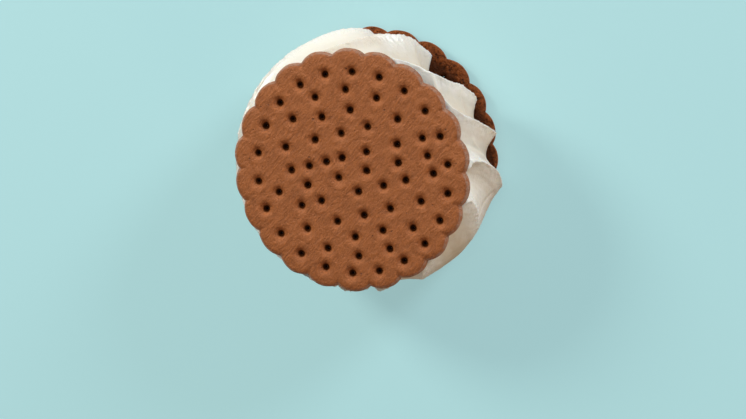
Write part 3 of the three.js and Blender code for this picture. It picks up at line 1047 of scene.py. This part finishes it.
def swirl_surface():
    """The swirl as rings of points from bottom to top, with how near each is to a crest and how much
    painted shade it gets deep in its channel."""
    ridges = all_ridges()
    height = np.linspace(0, 1, SWIRL_ROWS + 1)
    across = (1 - np.cos(np.linspace(0, math.pi, CHANNEL_STEPS + 1)[:-1])) / 2
    across = 0.5 * across + 0.5 * np.linspace(0, 1, CHANNEL_STEPS + 1)[:-1]
    h, a = np.meshgrid(height, across, indexing="ij")
    angles, reaches, crests, painted_shades = [], [], [], []
    for i, ridge in enumerate(ridges):
        following = ridges[(i + 1) % len(ridges)]
        here = along_path(ridge["path"], h)
        there = along_path(following["path"], h) - (360 if i == len(ridges) - 1 else 0)
        low_notch, high_notch = ridge["notch"]
        notch = low_notch + (high_notch - low_notch) * smooth_ramp(h, *NOTCH_SETTLES)
        share = channel_share(a, notch, h, ridge["rise"])
        depth = three_levels(ridge["depth"], h)
        reach = crest_reach(ridge, h) * (1 - a) + crest_reach(following, h) * a - depth * share
        to_crest = np.minimum(a, 1 - a) * CHANNEL_WIDTH
        nearest = np.where(a < 0.5, i, (i + 1) % len(ridges))
        bead = np.where(np.isin(nearest, BLUNT_RIDGES), smooth_ramp(h, *BLUNT_BELOW), 1.0)
        reach += BEAD_HEIGHT * bead * np.exp(-((to_crest / BEAD_WIDTH) ** BEAD_POWER))
        off_crest = smooth_ramp(to_crest, 0, CREST_CLEAR)
        reach += (small_folds(i, a, h) + FLOW_DEPTH * flow_lines(i + a, h)) * off_crest
        angles.append(np.radians(here + (there - here) * a))
        reaches.append(reach)
        crests.append(np.clip(1 - share * CREST_NARROWNESS, 0, 1))
        # Painted shade: each channel's hollow is painted warm and dark, and one channel also close under
        # its crest.
        warm = share * (CHANNEL_PAINTED_SHADE[i] if i < len(CHANNEL_PAINTED_SHADE) else OTHER_PAINTED_SHADE)
        if i == SHADED_CREST:
            under = smooth_ramp(h, *SHADED_CREST_FROM) * np.exp(-((a / SHADED_CREST_WIDTH) ** 2))
            warm = np.maximum(warm, SHADED_CREST_SHARE * under)
        painted_shades.append(warm)
    angle, reach = np.hstack(angles), np.hstack(reaches)
    rise = height[:, None]
    x = (BOTTOM_CENTRE.x * (1 - rise) + TOP_CENTRE.x * rise) / MM + reach * np.cos(angle)
    y = (BOTTOM_CENTRE.y * (1 - rise) + TOP_CENTRE.y * rise) / MM + reach * np.sin(angle)
    z = (CREAM_LOW.z + (CREAM_HIGH.z - CREAM_LOW.z) * rise) / MM + 0 * reach
    return np.stack([x, y, z], axis=2) * MM, np.hstack(crests), np.hstack(painted_shades)


def swirl_blank():
    """Closes the rings of the swirl into one solid with level ends."""
    rings, crest, hollow = swirl_surface()
    rows, around = rings.shape[:2]
    middle_top = rings[-1].mean(axis=0)
    middle_bottom = rings[0].mean(axis=0)
    layers = [middle_bottom + (rings[0] - middle_bottom) * s for s in reversed(END_RINGS)]
    layers += list(rings)
    layers += [middle_top + (rings[-1] - middle_top) * s for s in END_RINGS]
    points = np.vstack(layers + [middle_bottom[None, :], middle_top[None, :]])
    # The ridges are listed clockwise, so each quad is turned round to face outwards.
    faces = [tuple(reversed(face)) for face in strip_faces(len(layers), around)]
    bottom, top = len(points) - 2, len(points) - 1
    last = (len(layers) - 1) * around
    for i in range(around):
        j = (i + 1) % around
        faces.append((i, j, bottom))
        faces.append((last + j, last + i, top))
    blank = mesh_object("swirl_blank", points, faces)
    ends = np.zeros(len(END_RINGS) * around)
    store_values(blank.data, "crest", np.concatenate([ends, crest.ravel(), ends, [0, 0]]))
    # The painted shade of the channels, for the finish.
    store_values(blank.data, "hollow", np.concatenate([ends, hollow.ravel(), ends, [0, 0]]))
    rise = np.repeat(np.linspace(0, 1, rows), around)
    held = np.maximum(smooth_ramp(rise, HELD_ENDS[0], 1), smooth_ramp(-rise, -HELD_ENDS[1], 0))
    store_values(blank.data, "held", np.concatenate([ends + 1, held, ends + 1, [1, 1]]))
    return blank


# ---- Operators ----

class SANDWICH_OT_wafers(bpy.types.Operator):
    """Build the two chocolate wafers in place of the plain ones"""
    bl_idname = "sandwich.wafers"
    bl_label = "Wafers"

    def execute(self, context):
        wafer = context.scene.wafer_settings
        upright = Matrix.Translation((TOP_CENTRE.x, TOP_CENTRE.y, WAFER_LOW.z))
        flipped = (Matrix.Translation((BOTTOM_CENTRE.x, BOTTOM_CENTRE.y, BOTTOM_HIGH.z))
                   @ Matrix.Rotation(wafer.bottom_turn, 4, "Z") @ Matrix.Rotation(math.pi, 4, "X"))
        build_wafer("top_wafer", "wafer_top", wafer, upright, TOP_SEED,
                    wafer_finish("baked wafer top", wafer, **TOP_LOOK), bulges=False)
        build_wafer("bottom_wafer", "wafer_bottom", wafer, flipped, BOTTOM_SEED,
                    wafer_finish("baked wafer bottom", wafer, **BOTTOM_LOOK), bulges=True)
        return {"FINISHED"}


class SANDWICH_OT_ice_cream(bpy.types.Operator):
    """Build the swirl of ice cream in place of the plain one"""
    bl_idname = "sandwich.ice_cream"
    bl_label = "Ice Cream"

    def execute(self, context):
        cream = context.scene.cream_settings
        tree = bpy.data.node_groups.get("Tear and Soften") or tearing_tree()
        piece = worked_mesh(swirl_blank(), tree, {
            "Ragged Height": cream.ragged_height, "Surface Height": cream.surface_height,
            "Seed": CREAM_SEED, "Material": cream_finish(cream)}, "cream_swirl")
        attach(piece, "root")
        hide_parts("ice_cream")
        return {"FINISHED"}


FLOOR_HALF = 4.0
LAMPS_AIM = Vector((0, 0, 0.02))
# Each lamp: its place, its size, its colour and the setting that holds its power.
LAMPS = {
    "key_lamp": ((-0.6, 0.8, 0.54), 0.36, (1.0, 0.985, 0.91), "key_power"),
    "fill_lamp": ((1.0, 0.54, 0.36), 0.36, (0.94, 0.97, 1.0), "fill_power"),
    "low_lamp": ((0.45, -1.05, 0.35), 0.5, (1.0, 0.68, 0.42), "low_power"),
}
SKY_COLOUR = (0.95, 0.93, 0.9, 1)
# The camera looks at a point off the middle of the ring of holes.
CAMERA_AIM = Vector((4.12, -13.8, 0)) * MM
CAMERA_AZIMUTH, CAMERA_ELEVATION, CAMERA_ROLL = (math.radians(a) for a in (16.8, 69.777, -121.29))
CAMERA_DISTANCE = 1030.7 * MM
SENSOR_WIDTH = 36.0
NEAREST_SEEN = 0.05


def add_lamp(name, place, size, colour, power):
    lamp = bpy.data.lights.new(name, "AREA")
    lamp.shape = "DISK"
    lamp.size = size
    lamp.energy = power
    lamp.color = colour
    thing = new_object(name, lamp)
    thing.location = place
    thing.rotation_euler = (Vector(place) - LAMPS_AIM).to_track_quat("Z", "Y").to_euler()


def add_camera(scene, focal_length):
    shift = scene.wafer_settings.pattern_shift
    aim = Vector((TOP_CENTRE.x + shift[0], TOP_CENTRE.y + shift[1], WAFER_HIGH.z)) + CAMERA_AIM
    level = math.cos(CAMERA_ELEVATION)
    away = Vector((level * math.cos(CAMERA_AZIMUTH), level * math.sin(CAMERA_AZIMUTH),
                   math.sin(CAMERA_ELEVATION)))
    right = Vector((-math.sin(CAMERA_AZIMUTH), math.cos(CAMERA_AZIMUTH), 0))
    basis = Matrix((right, away.cross(right), away)).transposed()
    lens = bpy.data.cameras.new("camera")
    lens.lens = focal_length
    lens.sensor_width = SENSOR_WIDTH
    lens.clip_start = NEAREST_SEEN
    camera = new_object("camera", lens)
    camera.location = aim + away * CAMERA_DISTANCE
    camera.rotation_euler = (basis @ Matrix.Rotation(CAMERA_ROLL, 3, "Z")).to_euler()
    scene.camera = camera


class SANDWICH_OT_stage(bpy.types.Operator):
    """Set up the floor, the soft lamps and the camera"""
    bl_idname = "sandwich.stage"
    bl_label = "Stage"

    def execute(self, context):
        stage = context.scene.stage_settings
        corners = [(x * FLOOR_HALF, y * FLOOR_HALF, 0) for x, y in ((-1, -1), (1, -1), (1, 1), (-1, 1))]
        floor = mesh_object("floor", corners, [(0, 1, 2, 3)])
        floor.data.materials.append(floor_finish(stage))
        for name, (place, size, colour, power) in LAMPS.items():
            add_lamp(name, place, size, colour, getattr(stage, power))
        world = bpy.data.worlds.new("even light")
        world.use_nodes = True
        sky = world.node_tree.nodes["Background"]
        sky.inputs["Color"].default_value = SKY_COLOUR
        sky.inputs["Strength"].default_value = stage.sky_strength
        context.scene.world = world
        context.scene.view_settings.view_transform = "Standard"
        add_camera(context.scene, stage.lens)
        return {"FINISHED"}


class SANDWICH_PT_panel(bpy.types.Panel):
    """Lists the sizes, the colours and the steps"""
    bl_label = "Ice Cream Sandwich"
    bl_idname = "SANDWICH_PT_panel"
    bl_space_type = "VIEW_3D"
    bl_region_type = "UI"
    bl_category = "Sandwich"

    def draw(self, context):
        groups = (("wafer_settings", "sandwich.wafers"), ("cream_settings", "sandwich.ice_cream"),
                  ("stage_settings", "sandwich.stage"))
        for settings_name, operator in groups:
            settings = getattr(context.scene, settings_name)
            box = self.layout.box()
            for name in settings.__annotations__:
                box.prop(settings, name)
            box.operator(operator)


CLASSES = (WaferSettings, CreamSettings, StageSettings, SANDWICH_OT_wafers, SANDWICH_OT_ice_cream,
           SANDWICH_OT_stage, SANDWICH_PT_panel)


def register():
    for item in CLASSES:
        bpy.utils.register_class(item)
    bpy.types.Scene.wafer_settings = bpy.props.PointerProperty(type=WaferSettings)
    bpy.types.Scene.cream_settings = bpy.props.PointerProperty(type=CreamSettings)
    bpy.types.Scene.stage_settings = bpy.props.PointerProperty(type=StageSettings)


def unregister():
    del bpy.types.Scene.stage_settings
    del bpy.types.Scene.cream_settings
    del bpy.types.Scene.wafer_settings
    for item in reversed(CLASSES):
        bpy.utils.unregister_class(item)


def main():
    register()
    bpy.ops.sandwich.wafers()
    bpy.ops.sandwich.ice_cream()
    bpy.ops.sandwich.stage()


if __name__ == "__main__":
    main()
